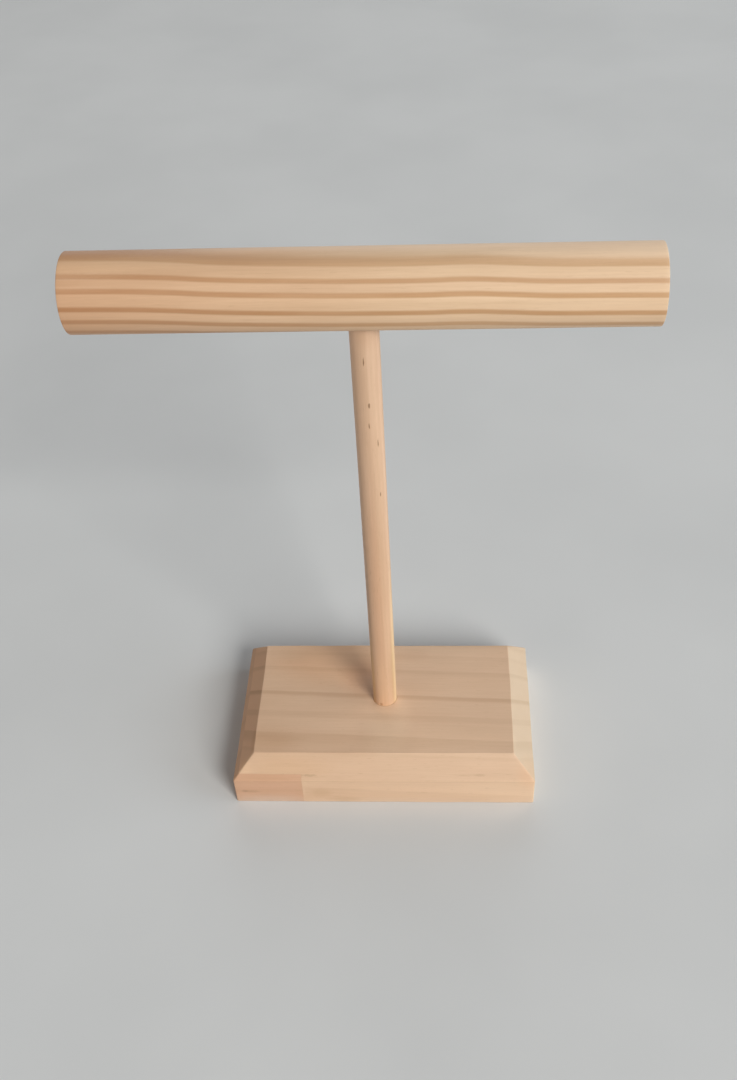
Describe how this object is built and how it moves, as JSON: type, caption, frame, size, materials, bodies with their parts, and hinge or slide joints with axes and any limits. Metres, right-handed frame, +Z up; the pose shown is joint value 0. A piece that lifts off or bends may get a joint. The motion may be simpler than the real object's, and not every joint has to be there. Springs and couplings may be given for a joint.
{
  "type": "jewelry stand",
  "caption": "Free-standing pine T-bar jewelry stand: bevelled block base, round dowel post and a level round bar that bracelets, bangles, watches and necklaces hang from.",
  "frame": {"origin": "on the table, under the middle of the base", "axes": "+X along the bar to the right, +Y to the back, +Z up along the post"},
  "size_m": [0.224, 0.088, 0.2845],
  "materials": {
    "base_pine": "sanded bare pine, pale, faint growth rings along the width",
    "lap_pine": "sanded bare pine, pinker and darker than the base",
    "post_pine": "sanded bare pine dowel, straight grain with short dark flecks",
    "bar_pine": "sanded bare pine, strong brown latewood lines along its length",
    "set_glue": "set wood glue, yellowish and slightly glossy"
  },
  "bodies": {
    "root": {"base_block": "base_pine", "base_lap_block": "lap_pine", "post": "post_pine", "bar": "bar_pine", "base_joint_glue": "set_glue", "bar_joint_glue": "set_glue"}
  },
  "joints": []
}
